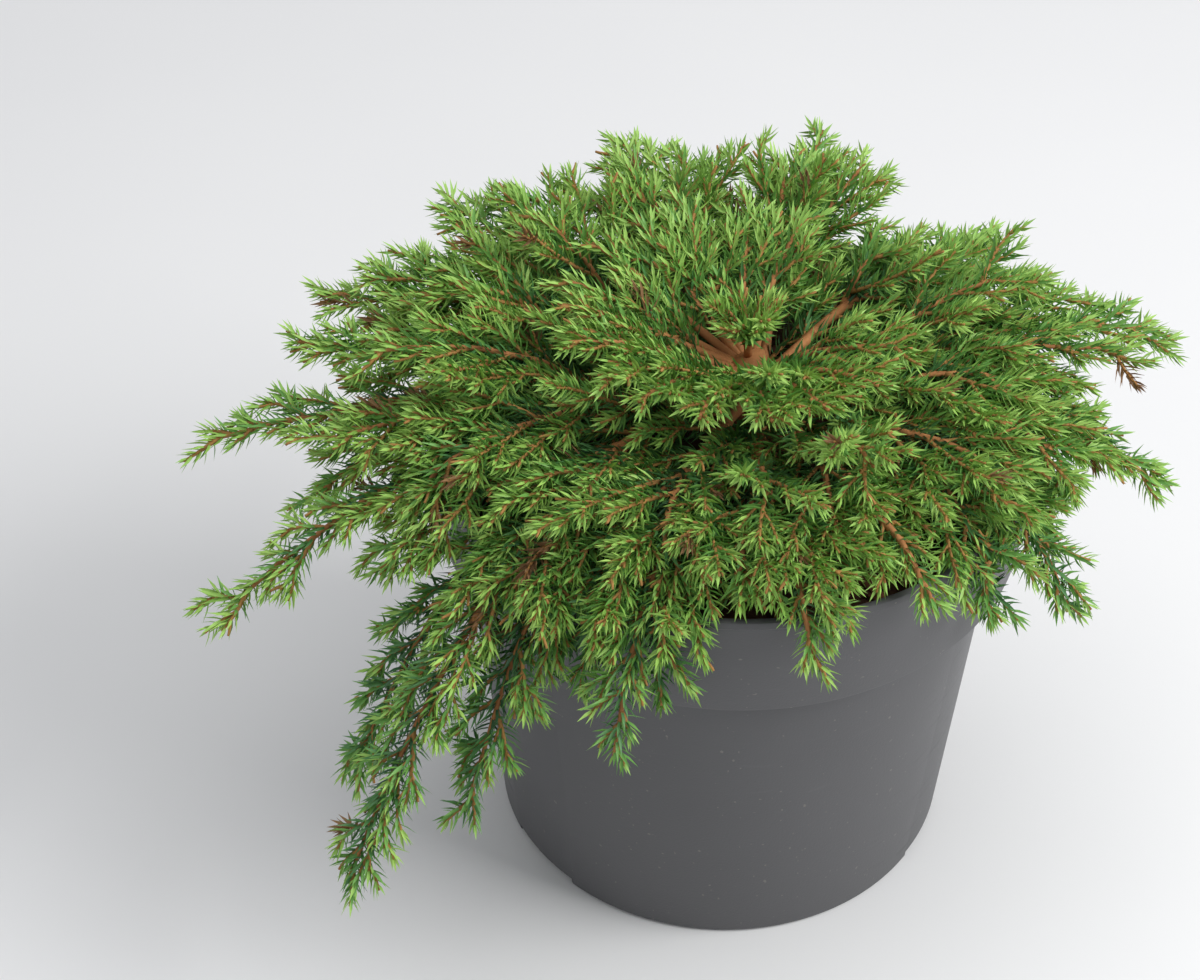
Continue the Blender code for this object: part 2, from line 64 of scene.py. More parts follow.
MAX_PIECE_TRIANGLES = 190_000
FULL_TURN = 2.0 * math.pi
TINY = 1e-9
UP = np.array([0.0, 0.0, 1.0])

# Nearly upright, so that a cross product with an upright line isn't zero
TUBE_UP = UP + 0.01
WHORL_UP = UP + 0.013

# Pot, as in the source
POT_HEIGHT = 0.172
RIM_RADIUS = 0.1024
LIP_WIDTH = 0.0026
COLLAR_RADIUS = 0.0983
COLLAR_HEIGHT = 0.0425
BODY_TOP_RADIUS = 0.0905
BASE_RADIUS = 0.0803
WALL = 0.0018
FLOOR = 0.0025
FLOOR_CHAMFER = 0.0075
NOTCH_AZIMUTHS = (96, 216, 336)
SOIL_HEIGHT = 0.159

# Stem, as in the source
STEM_FOOT = np.array([0.008, 0.0, 0.1593])
STEM_LEAN = np.array([-0.004, 0.003, 0.0])
STEM_HEIGHT = 0.032
STEM_FOOT_RADIUS = 0.0078
STEM_TAPER = 0.002
FLARE = 0.0057
FLARE_HEIGHT = 0.0028
STEM_RISES = (0.0, 0.0015, 0.004, 0.008, 0.014, 0.022, 0.032)

# Outer limbs, as in the source: azimuth in degrees, reach and height of the tip
OUTER_LIMBS = (
    (14, 0.156, 0.172),
    (350, 0.144, 0.155),
    (326, 0.129, 0.142),
    (300, 0.118, 0.172),
    (276, 0.119, 0.162),
    (252, 0.130, 0.132),
    (226, 0.184, 0.088),
    (203, 0.178, 0.140),
    (186, 0.177, 0.172),
    (166, 0.148, 0.192),
    (142, 0.127, 0.202),
    (108, 0.126, 0.200),
    (72, 0.129, 0.200),
    (42, 0.122, 0.186),
)
OUTER_LEVELS = (0.0085, 0.0175)
OUTER_END = 0.050
OUTER_CREST = 0.188
RIM_CREST = 0.192
RIM_OVER = 0.004
DROOP_BELOW = 0.18

# Inner limbs, by the source's rule
INNER_AZIMUTHS = (90, 150, 205, 262, 322)
INNER_LEVEL = 0.026
INNER_END = 0.023
INNER_CREST = 0.201
TUFT_REACH = 0.058
TUFT_HEIGHT = 0.214

# Clearance of a shoot from the pot, and the lowest and highest corner that it may reach
SHOOT_CLEARANCE = 0.003
SOIL_COVER = 0.004
RIM_EDGE = 0.001
REACH_LOW = np.array([-0.187, -0.146, 0.040])
REACH_HIGH = np.array([0.163, 0.131, 0.244])


class Fresh(Enum):
    """Age of needles, which decides their colour."""

    TIP = "tip"
    YOUNG = "young"
    MATURE = "mature"
    OLD = "old"
    DEAD = "dead"


class Rank(Enum):
    """Rank of a shoot, counted from the limb."""

    LIMB = 0
    SIDE = 1
    TWIG = 2


class Sock:
    """A shader socket whose operators add Math nodes."""

    def __init__(self, tree: Shader, socket: bpy.types.NodeSocket) -> None:
        """Wraps a socket of a tree."""
        self.tree = tree
        self.socket = socket

    def _math(self, operation: str, first: object, second: object) -> Sock:
        """Adds one Math node."""
        return self.tree.node("ShaderNodeMath", {"operation": operation}, {0: first, 1: second})

    def __add__(self, other: object) -> Sock:
        """Sum."""
        return self._math("ADD", self, other)

    __radd__ = __add__

    def __mul__(self, other: object) -> Sock:
        """Product."""
        return self._math("MULTIPLY", self, other)

    __rmul__ = __mul__


class Shader:
    """A material's node tree around one Principled shader."""

    def __init__(self, name: str, roughness: float, specular: float) -> None:
        """Makes the material.

        Args:
            name: the material's name.
            roughness: its roughness where no texture feeds it.
            specular: its specular level.
        """
        self.material = bpy.data.materials.new(name)
        self.material.use_nodes = True
        self.nodes = self.material.node_tree.nodes
        self.links = self.material.node_tree.links
        self.principled = self.nodes["Principled BSDF"]
        self.principled.inputs["Roughness"].default_value = roughness
        self.principled.inputs["Specular IOR Level"].default_value = specular

    def node(self, kind: str, settings: dict, inputs: dict, out: int | str = 0) -> Sock:
        """Adds a node.

        Args:
            kind: the node's type.
            settings: attributes to set.
            inputs: values or sockets by input name or index.
            out: the output to return.

        Returns:
            The chosen output.
        """
        made = self.nodes.new(kind)
        for key, value in settings.items():
            setattr(made, key, value)
        for key, value in inputs.items():
            if isinstance(value, Sock):
                self.links.new(value.socket, made.inputs[key])
            else:
                made.inputs[key].default_value = value
        return Sock(self, made.outputs[out])

    def noise(self, scale: float, detail: float, stretch: Colour = (1.0, 1.0, 1.0)) -> Sock:
        """Adds a noise texture on the piece's own coordinates.

        Args:
            scale: cells in a metre.
            detail: octaves of finer noise.
            stretch: factors on the coordinates.

        Returns:
            The noise, about 0.5 on average.
        """
        place = self.node("ShaderNodeTexCoord", {}, {}, "Object")
        mapped = self.node("ShaderNodeMapping", {}, {"Vector": place, "Scale": stretch})
        inputs = {"Vector": mapped, "Scale": scale, "Detail": detail}
        return self.node("ShaderNodeTexNoise", {}, inputs)

    def remap(self, value: Sock, low: float, high: float) -> Sock:
        """Maps a value's range from low to high onto 0 to 1.

        Args:
            value: the value.
            low: what becomes 0.
            high: what becomes 1.

        Returns:
            The mapped value.
        """
        inputs = {"Value": value, "From Min": low, "From Max": high}
        return self.node("ShaderNodeMapRange", {}, inputs)

    def mix(self, factor: Sock, first: Colour | Sock, second: Colour | Sock) -> Sock:
        """Mixes two colours.

        Args:
            factor: the share of the second colour.
            first: the colour where the factor is 0.
            second: the colour where the factor is 1.

        Returns:
            The mixed colour.
        """
        first, second = (c if isinstance(c, Sock) else (*c, 1.0) for c in (first, second))
        inputs = {0: factor, 6: first, 7: second}
        return self.node("ShaderNodeMix", {"data_type": "RGBA"}, inputs, 2)

    def feed(self, name: str, value: Sock) -> None:
        """Links a value to one of the shader's inputs."""
        self.links.new(value.socket, self.principled.inputs[name])

    def bump(self, height: Sock, depth: float, strength: float) -> None:
        """Feeds a height through a Bump node to the normal.

        Args:
            height: the height, 0 to 1.
            depth: the relief's depth at height 1.
            strength: the share of the relief that shows.
        """
        inputs = {"Height": height, "Distance": depth, "Strength": strength}
        self.feed("Normal", self.node("ShaderNodeBump", {}, inputs))


@dataclass(frozen=True)
class NeedleFinish:
    """Needles of one age, in two tones."""

    age: Fresh
    light: Colour
    dark: Colour
    roughness: float
    specular: float = 0.45
    patch_scale: float = 70.0
    fine_scale: float = 900.0
    detail: float = 2.0
    patch_range: tuple[float, float] = (0.35, 0.65)
    patch_share: float = 0.7
    fine_share: float = 0.3
    sheen_swing: float = 0.25
    sheen_shift: float = 0.12
    relief: float = 0.0002
    relief_share: float = 0.4

    def material(self) -> bpy.types.Material:
        """Makes the material.

        Returns:
            The material.
        """
        shader = Shader(f"needles_{self.age.value}", self.roughness, self.specular)
        patches = shader.remap(shader.noise(self.patch_scale, self.detail), *self.patch_range)
        fine = shader.noise(self.fine_scale, self.detail)
        mask = patches * self.patch_share + fine * self.fine_share
        shader.feed("Base Color", shader.mix(mask, self.dark, self.light))
        shader.feed("Roughness", fine * self.sheen_swing + (self.roughness - self.sheen_shift))
        shader.bump(fine, self.relief, self.relief_share)
        return shader.material


@dataclass(frozen=True)
class BarkFinish:
    """Flaking bark in two tones."""

    name: str
    light: Colour
    dark: Colour
    roughness: float = 0.8
    specular: float = 0.3
    flake_scale: float = 420.0
    flake_detail: float = 5.0
    flake_stretch: Colour = (1.0, 1.0, 0.45)
    broad_scale: float = 90.0
    broad_detail: float = 3.0
    broad_range: tuple[float, float] = (0.3, 0.7)
    flake_share: float = 0.6
    broad_share: float = 0.4
    least_roughness: float = 0.6
    roughness_swing: float = 0.3
    relief: float = 0.0006
    relief_share: float = 0.8

    def material(self) -> bpy.types.Material:
        """Makes the material.

        Returns:
            The material.
        """
        shader = Shader(self.name, self.roughness, self.specular)
        flakes = shader.noise(self.flake_scale, self.flake_detail, self.flake_stretch)
        broad = shader.remap(shader.noise(self.broad_scale, self.broad_detail), *self.broad_range)
        mask = flakes * self.flake_share + broad * self.broad_share
        shader.feed("Base Color", shader.mix(mask, self.dark, self.light))
        shader.feed("Roughness", flakes * self.roughness_swing + self.least_roughness)
        shader.bump(flakes, self.relief, self.relief_share)
        return shader.material


@dataclass(frozen=True)
class PotFinish:
    """Matte dark-grey moulded plastic with faint scuffs and specks of dust."""

    dark: Colour = (0.082, 0.082, 0.086)
    light: Colour = (0.102, 0.102, 0.106)
    scuff: Colour = (0.21, 0.21, 0.215)
    dust: Colour = (0.34, 0.31, 0.27)
    scuff_stretch: Colour = (1.0, 1.0, 6.0)
    scuff_share: float = 0.22
    dust_share: float = 0.30
    least_roughness: float = 0.42
    grain_depth: float = 0.00012

    def material(self) -> bpy.types.Material:
        """Makes the material.

        Returns:
            The material.
        """
        shader = Shader("pot_plastic", 0.5, 0.4)
        clouds = shader.remap(shader.noise(16.0, 4.0), 0.3, 0.7)
        grain = shader.noise(1400.0, 2.0)
        scuffs = shader.remap(shader.noise(55.0, 6.0, self.scuff_stretch), 0.62, 0.80)
        specks = shader.remap(shader.noise(520.0, 1.0), 0.74, 0.78)
        tone = shader.mix(clouds, self.dark, self.light)
        tone = shader.mix(scuffs * self.scuff_share, tone, self.scuff)
        tone = shader.mix(specks * self.dust_share, tone, self.dust)
        shader.feed("Base Color", tone)
        shader.feed("Roughness", clouds * 0.12 + scuffs * 0.15 + self.least_roughness)
        shader.bump(grain, self.grain_depth, 0.5)
        return shader.material


@dataclass(frozen=True)
class SoilFinish:
    """Dark peaty medium."""

    dark: Colour = (0.022, 0.012, 0.008)
    light: Colour = (0.13, 0.062, 0.035)
    crumb_scale: float = 260.0
    relief: float = 0.0012

    def material(self) -> bpy.types.Material:
        """Makes the material.

        Returns:
            The material.
        """
        shader = Shader("soil", 0.95, 0.2)
        crumbs = shader.noise(self.crumb_scale, 6.0)
        shader.feed("Base Color", shader.mix(crumbs, self.dark, self.light))
        shader.bump(crumbs, self.relief, 1.0)
        return shader.material


@dataclass(frozen=True)
class FloorFinish:
    """Pale plain floor."""

    dark: Colour = (0.80, 0.80, 0.80)
    light: Colour = (0.84, 0.84, 0.835)

    def material(self) -> bpy.types.Material:
        """Makes the material.

        Returns:
            The material.
        """
        shader = Shader("floor", 0.6, 0.3)
        tint = shader.remap(shader.noise(3.0, 3.0), 0.2, 0.8)
        shader.feed("Base Color", shader.mix(tint, self.dark, self.light))
        return shader.material


NEEDLE_FINISHES = (
    NeedleFinish(Fresh.TIP, (0.40, 0.62, 0.14), (0.24, 0.47, 0.08), 0.50),
    NeedleFinish(Fresh.YOUNG, (0.20, 0.43, 0.09), (0.11, 0.30, 0.055), 0.48),
    NeedleFinish(Fresh.MATURE, (0.11, 0.29, 0.085), (0.05, 0.165, 0.045), 0.46),
    NeedleFinish(Fresh.OLD, (0.06, 0.165, 0.07), (0.022, 0.075, 0.028), 0.45),
    NeedleFinish(Fresh.DEAD, (0.30, 0.17, 0.07), (0.16, 0.075, 0.03), 0.75),
)
OLD_BARK = BarkFinish("bark", (0.55, 0.25, 0.09), (0.27, 0.10, 0.035))
YOUNG_BARK = BarkFinish("twig_bark", (0.52, 0.26, 0.08), (0.26, 0.13, 0.04))
CHIP_BARK = BarkFinish("chip_bark", (0.33, 0.13, 0.06), (0.07, 0.03, 0.018))


def outward(azimuth: float) -> np.ndarray:
    """Unit vector in the ground plane at an azimuth in degrees."""
    angle = math.radians(azimuth)
    return np.array([math.cos(angle), math.sin(angle), 0.0])


def unit(vectors: np.ndarray) -> np.ndarray:
    """Scales vectors to length one."""
    length = np.linalg.norm(vectors, axis=-1, keepdims=True)
    return vectors / np.maximum(length, TINY)


def bezier(start: np.ndarray, middle: np.ndarray, end: np.ndarray, count: int) -> np.ndarray:
    """Makes points along a quadratic curve.

    Args:
        start: the curve's first point.
        middle: the point that bends it.
        end: the curve's last point.
        count: how many points.

    Returns:
        The points, one a row.
    """
    share = np.linspace(0.0, 1.0, count)[:, None]
    back = 1.0 - share
    return start * back**2 + middle * 2.0 * back * share + end * share**2


def clear_of_pot(points: np.ndarray) -> np.ndarray:
    """Lifts or pushes points off the pot's rim, wall and filling, within the plant's reach.

    Args:
        points: positions, one a row.

    Returns:
        The moved positions.
    """
    moved = points.copy()
    radius = np.hypot(moved[:, 0], moved[:, 1])
    inside = radius < COLLAR_RADIUS - WALL - SHOOT_CLEARANCE
    moved[inside, 2] = np.maximum(moved[inside, 2], SOIL_HEIGHT + SOIL_COVER + SHOOT_CLEARANCE)
    low = (moved[:, 2] < POT_HEIGHT + SHOOT_CLEARANCE) & ~inside
    outer = low & (radius > RIM_RADIUS - RIM_EDGE)
    push = np.maximum(radius, RIM_RADIUS + SHOOT_CLEARANCE) / np.maximum(radius, TINY)
    moved[outer, :2] *= push[outer, None]
    moved[low & ~outer, 2] = POT_HEIGHT + SHOOT_CLEARANCE
    return np.clip(moved, REACH_LOW, REACH_HIGH)


def mesh_from(vertices: np.ndarray, faces: list, name: str) -> bpy.types.Mesh:
    """Makes a smooth mesh.

    Args:
        vertices: positions, one a row.
        faces: the vertices' numbers, face by face.
        name: the mesh's name.

    Returns:
        The mesh.
    """
    mesh = bpy.data.meshes.new(name)
    mesh.from_pydata(vertices.tolist(), [], faces)
    mesh.update()
    mesh.shade_smooth()
    return mesh


def mesh_of(shape: bmesh.types.BMesh, name: str) -> bpy.types.Mesh:
    """Turns a bmesh into a mesh and frees it.

    Args:
        shape: the bmesh.
        name: the mesh's name.

    Returns:
        The mesh.
    """
    mesh = bpy.data.meshes.new(name)
    shape.to_mesh(mesh)
    shape.free()
    return mesh


def link(name: str, data: bpy.types.ID) -> bpy.types.Object:
    """Makes an object of a mesh, light or camera and puts it in the scene.

    Args:
        name: the object's name.
        data: what it shows.

    Returns:
        The new object.
    """
    made = bpy.data.objects.new(name, data)
    bpy.context.scene.collection.objects.link(made)
    return made


def add_piece(
    name: str, mesh: bpy.types.Mesh, material: bpy.types.Material
) -> bpy.types.Object:
    """Adds a mesh as one piece that rides on the root.

    Args:
        name: the piece's name.
        mesh: its mesh.
        material: its finish.

    Returns:
        The new object.
    """
    mesh.materials.clear()
    mesh.materials.append(material)
    piece = link(name, mesh)
    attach(piece, "root")
    log.info("%s: %d faces", name, len(mesh.polygons))
    return piece


@dataclass
class Shoot:
    """A shoot as a line of points, with its radius at the root and at the tip."""

    points: np.ndarray
    root: float
    tip: float
    rank: Rank
    bare: float = 0.0
    dead: bool = False

    def length(self) -> float:
        """Length along the line."""
        return float(np.linalg.norm(np.diff(self.points, axis=0), axis=1).sum())

    def at(self, shares: np.ndarray) -> tuple[np.ndarray, np.ndarray]:
        """Finds places along the line.

        Args:
            shares: shares of the length.

        Returns:
            The points and the directions there.
        """
        steps = np.linalg.norm(np.diff(self.points, axis=0), axis=1)
        run = np.concatenate([[0.0], np.cumsum(steps)])
        where = shares * run[-1]
        index = np.clip(np.searchsorted(run, where, side="right") - 1, 0, len(steps) - 1)
        part = ((where - run[index]) / np.maximum(steps[index], TINY))[:, None]
        before = self.points[index]
        after = self.points[index + 1]
        return before + (after - before) * part, unit(after - before)


@dataclass
class Tubes:
    """Tubes along shoots, joined into one mesh."""

    sides: int
    relief: float = 0.0
    vertices: list = field(default_factory=list)
    faces: list = field(default_factory=list)
    count: int = 0

    def add(self, shoot: Shoot, rng: np.random.Generator) -> None:
        """Adds one tapering tube with closed ends.

        Args:
            shoot: the line that it follows.
            rng: the source of chance for its relief.
        """
        points = shoot.points
        along = unit(np.gradient(points, axis=0))
        aside = unit(np.cross(along, TUBE_UP))
        lift = np.cross(aside, along)
        taper = np.linspace(shoot.root, shoot.tip, len(points))
        angles = np.linspace(0.0, FULL_TURN, self.sides, endpoint=False)
        ripple = 1.0 + self.relief * rng.uniform(-1.0, 1.0, (len(points), self.sides))
        across = np.cos(angles)[None, :, None]
        upright = np.sin(angles)[None, :, None]
        ring = aside[:, None] * across + lift[:, None] * upright
        rows = points[:, None] + ring * (taper[:, None] * ripple)[:, :, None]
        self.vertices.append(rows.reshape(-1, 3))
        self._join(len(points))

    def _join(self, rings: int) -> None:
        """Joins the rings that were added last, and closes their ends."""
        base = self.count
        for i in range(rings - 1):
            low = base + i * self.sides
            high = low + self.sides
            for j in range(self.sides):
                k = (j + 1) % self.sides
                self.faces.append((low + j, low + k, high + k, high + j))
        last = base + (rings - 1) * self.sides
        self.faces.append(tuple(range(base + self.sides - 1, base - 1, -1)))
        self.faces.append(tuple(range(last, last + self.sides)))
        self.count += rings * self.sides

    def mesh(self, name: str) -> bpy.types.Mesh:
        """Joins the tubes."""
        return mesh_from(np.concatenate(self.vertices), self.faces, name)


@dataclass
class Needles:
    """Whorls of three needles along shoots, kept apart by age."""

    whorl_step: float = 0.0017
    whorl_turn: float = 1.05
    in_whorl: int = 3
    fewest_whorls: int = 3
    length: float = 0.0072
    width: float = 0.00120
    length_range: tuple[float, float] = (0.8, 1.15)
    turn_spread: float = 0.22
    opening_spread: float = 0.12
    sunk: float = 0.6

    # Angle from the shoot and size, by the distance from its tip
    opening_from: tuple = (0.0, 0.004, 0.012)
    opening: tuple = (0.30, 0.62, 0.88)
    size_from: tuple = (0.0, 0.003, 0.010)
    size: tuple = (0.55, 0.85, 1.0)

    # Lengths of shoot in each age, and how much of them is lost deep in the crown
    bright_length: float = 0.0135
    bright_loss: float = 0.70
    bright_range: tuple[float, float] = (0.5, 1.3)
    young_length: float = 0.016
    young_loss: float = 0.6
    mature_length: float = 0.022
    edge_spread: float = 0.0015

    # A needle's outline, in shares of its width, and its keel and bow, in shares of its length
    root_half: float = 0.32
    root_keel: float = 0.22
    middle_half: float = 0.5
    middle_keel: float = 0.28
    middle_share: float = 0.42
    middle_bow: float = 0.03
    tip_bow: float = 0.05
    corners: int = 7
    triangles: int = 6

    rows: dict = field(default_factory=lambda: {age: [] for age in Fresh})

    def clothe(self, shoot: Shoot, rng: np.random.Generator, shade: float) -> None:
        """Adds the needles of one shoot.

        Args:
            shoot: the twig.
            rng: the source of chance.
            shade: 0 for a shoot in the light to 1 for one deep inside.
        """
        total = shoot.length()
        first = shoot.bare * total
        count = int((total - first) / self.whorl_step)
        if count < self.fewest_whorls:
            return
        run = first + (np.arange(count) + 0.5) * self.whorl_step
        centre, along = shoot.at(run / total)
        from_tip = total - run
        turn = rng.uniform(0.0, FULL_TURN) + np.arange(count) * self.whorl_turn
        aside = unit(np.cross(along, WHORL_UP))
        lift = np.cross(aside, along)
        for k in range(self.in_whorl):
            angle = turn + k * FULL_TURN / self.in_whorl + rng.normal(0.0, self.turn_spread, count)
            radial = aside * np.cos(angle)[:, None] + lift * np.sin(angle)[:, None]
            opening = np.interp(from_tip, self.opening_from, self.opening)
            opening = opening + rng.normal(0.0, self.opening_spread, count)
            heading = unit(along * np.cos(opening)[:, None] + radial * np.sin(opening)[:, None])
            size = np.interp(from_tip, self.size_from, self.size)
            size = size * rng.uniform(*self.length_range, count) * self.length
            start = centre + radial * shoot.tip * self.sunk
            row = np.concatenate([start, heading, radial, size[:, None]], axis=1)
            self._deal(row, from_tip, shoot.dead, rng, shade)

    def _deal(
        self,
        row: np.ndarray,
        from_tip: np.ndarray,
        dead: bool,
        rng: np.random.Generator,
        shade: float,
    ) -> None:
        """Deals needles out by age: bright at the tips, deep further in.

        Args:
            row: the needles.
            from_tip: their distances from the shoot's tip.
            dead: whether the shoot has died.
            rng: the source of chance.
            shade: how deep in the crown the shoot lies.
        """
        if dead:
            self.rows[Fresh.DEAD].append(row)
            return
        bright = self.bright_length * (1.0 - self.bright_loss * shade) * rng.uniform(*self.bright_range)
        young = bright + self.young_length * (1.0 - self.young_loss * shade)
        mature = young + self.mature_length
        edges = from_tip + rng.normal(0.0, self.edge_spread, len(from_tip))
        self.rows[Fresh.TIP].append(row[edges < bright])
        self.rows[Fresh.YOUNG].append(row[(edges >= bright) & (edges < young)])
        self.rows[Fresh.MATURE].append(row[(edges >= young) & (edges < mature)])
        self.rows[Fresh.OLD].append(row[edges >= mature])

    def meshes(self, age: Fresh) -> list[bpy.types.Mesh]:
        """Joins one age's needles into meshes of limited size.

        Args:
            age: the age.

        Returns:
            The meshes, named in order.
        """
        rows = [row for row in self.rows[age] if len(row)]
        if not rows:
            return []
        table = np.concatenate(rows)
        limit = MAX_PIECE_TRIANGLES // self.triangles
        parts = [table[i : i + limit] for i in range(0, len(table), limit)]
        return [self._mesh(part, f"needles_{age.value}_{i + 1}") for i, part in enumerate(parts)]

    def _mesh(self, table: np.ndarray, name: str) -> bpy.types.Mesh:
        """Builds keeled, pointed needles of four faces.

        Args:
            table: root, heading, side away from the shoot and length, one needle a row.
            name: the mesh's name.

        Returns:
            The mesh.
        """
        start, heading, radial, size = np.split(table, (3, 6, 9), axis=1)
        side = unit(np.cross(heading, radial))
        face = np.cross(side, heading)
        wide = self.width * np.sqrt(size / self.length)
        middle = start + heading * size * self.middle_share + face * size * self.middle_bow
        tip = start + heading * size - face * size * self.tip_bow
        outline = [
            start - side * wide * self.root_half,
            start - face * wide * self.root_keel,
            start + side * wide * self.root_half,
            middle - side * wide * self.middle_half,
            middle - face * wide * self.middle_keel,
            middle + side * wide * self.middle_half,
            tip,
        ]
        corners = np.stack(outline, axis=1).reshape(-1, 3)
        base = np.arange(len(table))[:, None] * self.corners
        blades = np.concatenate([base + [0, 1, 4, 3], base + [1, 2, 5, 4]])
        points = np.concatenate([base + [3, 4, 6], base + [4, 5, 6]])
        return mesh_from(corners, blades.tolist() + points.tolist(), name)


@dataclass(frozen=True)
class PlumeLine:
    """One of the lines that a plume is grown along, set against the limb that carries it."""

    turn: float
    share: float
    rise: float


@dataclass(frozen=True)
class Habit:
    """How shoots of one rank grow."""

    step: float
    radius: float
    points: int
    dead_share: float


@dataclass(frozen=True)
class Stalk:
    """Radii of a limb, the share of it that is bare of needles and where its branches begin."""

    root: float
    tip: float
    bare: float
    first: float


@dataclass
class Crown:
    """Stem, limbs and foliage, grown by the source's rule to finer twigs."""

    seed: int = 11
    plume_lines: tuple[PlumeLine, ...] = (
        PlumeLine(0.0, 1.0, 0.0),
        PlumeLine(-9.0, 0.88, 0.002),
        PlumeLine(9.0, 0.84, -0.002),
        PlumeLine(2.0, 0.70, 0.009),
    )
    tuft_turns: tuple[float, ...] = (-26.0, -6.0, 16.0)
    leader_azimuths: tuple[int, ...] = (20, 92, 164, 236, 308)
    habits: dict = field(
        default_factory=lambda: {
            Rank.SIDE: Habit(0.0062, 0.0009, 9, 0.0),
            Rank.TWIG: Habit(0.0058, 0.0006, 6, 0.035),
        }
    )
    whole_stalk: Stalk = Stalk(0.0021, 0.0006, 0.40, 0.12)
    part_stalk: Stalk = Stalk(0.0012, 0.0006, 0.05, 0.05)
    tuft_stalk: Stalk = Stalk(0.0016, 0.0006, 0.3, 0.22)
    leader_stalk: Stalk = Stalk(0.0013, 0.0005, 0.2, 0.15)

    # Outer limbs and plumes
    wood_points: int = 10
    green_points: int = 22
    knee_rise: float = 0.006
    turn_spread: float = 2.0
    part_range: tuple[float, float] = (0.90, 1.0)
    shortest_plume: float = 0.03
    needle_room: float = 0.004
    droop_slope: float = 0.45
    level_slope: float = 0.10
    crest_share: float = 0.45
    wander: float = 0.00022

    # Inner limbs, tufts and the leader
    tuft_wood_points: int = 6
    tuft_points: int = 12
    tuft_bow: float = 0.004
    tuft_side_share: float = 0.72
    leader_turn: float = 14.0
    leader_reach: float = 0.012
    leader_bow: float = 0.012
    leader_rise: tuple[float, float] = (0.016, 0.024)
    leader_points: int = 9
    leader_side_length: float = 0.020

    # Side shoots and twigs
    side_length: float = 0.046
    twig_length: float = 0.0160
    twig_first: float = 0.16
    shortest_parent: float = 0.014
    shoot_tip: float = 0.0004
    shoot_bare: float = 0.06
    place_range: tuple[float, float] = (0.2, 0.8)
    last_place: float = 0.985
    lift_range: tuple[float, float] = (-0.28, 0.16)
    third_lift: float = 0.50
    spread_range: tuple[float, float] = (28.0, 50.0)
    ebb: float = 0.74
    ebb_range: tuple[float, float] = (0.55, 1.12)
    bend_heading: float = 0.6
    bend_along: float = 0.7
    sag_range: tuple[float, float] = (-0.15, 0.20)
    straight_share: float = 0.55
    bent_share: float = 0.5

    # Depth below the crown's surface, which falls away outside its top
    crown_top: float = 0.222
    flat_radius: float = 0.06
    fall: float = 0.9
    fall_power: float = 1.2
    deep: float = 0.05

    limbs: list = field(default_factory=list)
    shoots: list = field(default_factory=list)

    @staticmethod
    def stem_point(rise: float) -> np.ndarray:
        """Centre of the stem at a height above its foot."""
        return STEM_FOOT + STEM_LEAN * (rise / STEM_HEIGHT) ** 2 + UP * rise

    def grow(self) -> None:
        """Grows every limb with its twigs."""
        rng = np.random.default_rng(self.seed)
        for index, (azimuth, reach, height) in enumerate(OUTER_LIMBS):
            level = OUTER_LEVELS[index % len(OUTER_LEVELS)]
            self._plume(azimuth, reach, height, level, rng)
        for azimuth in INNER_AZIMUTHS:
            for turn in self.tuft_turns:
                self._tuft(azimuth + turn, rng)
        self._leader(rng)

    def _leader(self, rng: np.random.Generator) -> None:
        """Grows the shoots that stand on the stem's top."""
        foot = self.stem_point(STEM_HEIGHT)
        for azimuth in self.leader_azimuths:
            heading = outward(azimuth + rng.uniform(-self.leader_turn, self.leader_turn))
            end = foot + heading * self.leader_reach + UP * rng.uniform(*self.leader_rise)
            line = bezier(foot, foot + UP * self.leader_bow, end, self.leader_points)
            self._limb(line, self.leader_stalk, self.leader_side_length, rng)

    def _plume(
        self, azimuth: float, reach: float, height: float, level: float, rng: np.random.Generator
    ) -> None:
        """Grows one outer limb and the plume that it carries.

        Args:
            azimuth: where the limb points, in degrees.
            reach: its tip's distance from the pot's axis.
            height: its tip's height.
            level: the height on the stem where it leaves.
            rng: the source of chance.
        """
        start = self.stem_point(level)
        join = outward(azimuth) * OUTER_END + UP * OUTER_CREST
        knee = start + (join - start) * 0.5 + UP * self.knee_rise
        wood = bezier(start, knee, join, self.wood_points)
        slope = self.droop_slope if height < DROOP_BELOW else self.level_slope
        for part in self.plume_lines:
            whole = part.turn == 0.0
            side = outward(azimuth + part.turn + rng.normal(0.0, self.turn_spread))
            short = reach * part.share * (1.0 if whole else rng.uniform(*self.part_range))
            far = max(short, OUTER_END + self.shortest_plume) - self.needle_room
            tip = side * far + UP * (height + part.rise + (reach - far) * slope)
            green = bezier(join, self._crest(join, tip, side, far, part.rise), tip, self.green_points)
            line = clear_of_pot(np.concatenate([wood[:-1], green]) if whole else green)
            line += np.cumsum(rng.normal(0.0, self.wander, line.shape), axis=0)
            stalk = self.whole_stalk if whole else self.part_stalk
            self._limb(line, stalk, self.side_length, rng)

    def _crest(
        self, join: np.ndarray, tip: np.ndarray, side: np.ndarray, far: float, rise: float
    ) -> np.ndarray:
        """Finds the point that bends a plume, beyond the rim where the plume droops.

        Args:
            join: where the plume leaves the limb.
            tip: its tip.
            side: the way it points.
            far: its tip's distance from the pot's axis.
            rise: its rise above the limb's own line.

        Returns:
            The point.
        """
        if tip[2] < DROOP_BELOW:
            radius = max(0.5 * (OUTER_END + far), RIM_RADIUS + RIM_OVER)
            return side * radius + UP * (RIM_CREST + rise)
        return join + (tip - join) * self.crest_share + UP * (RIM_OVER + rise)

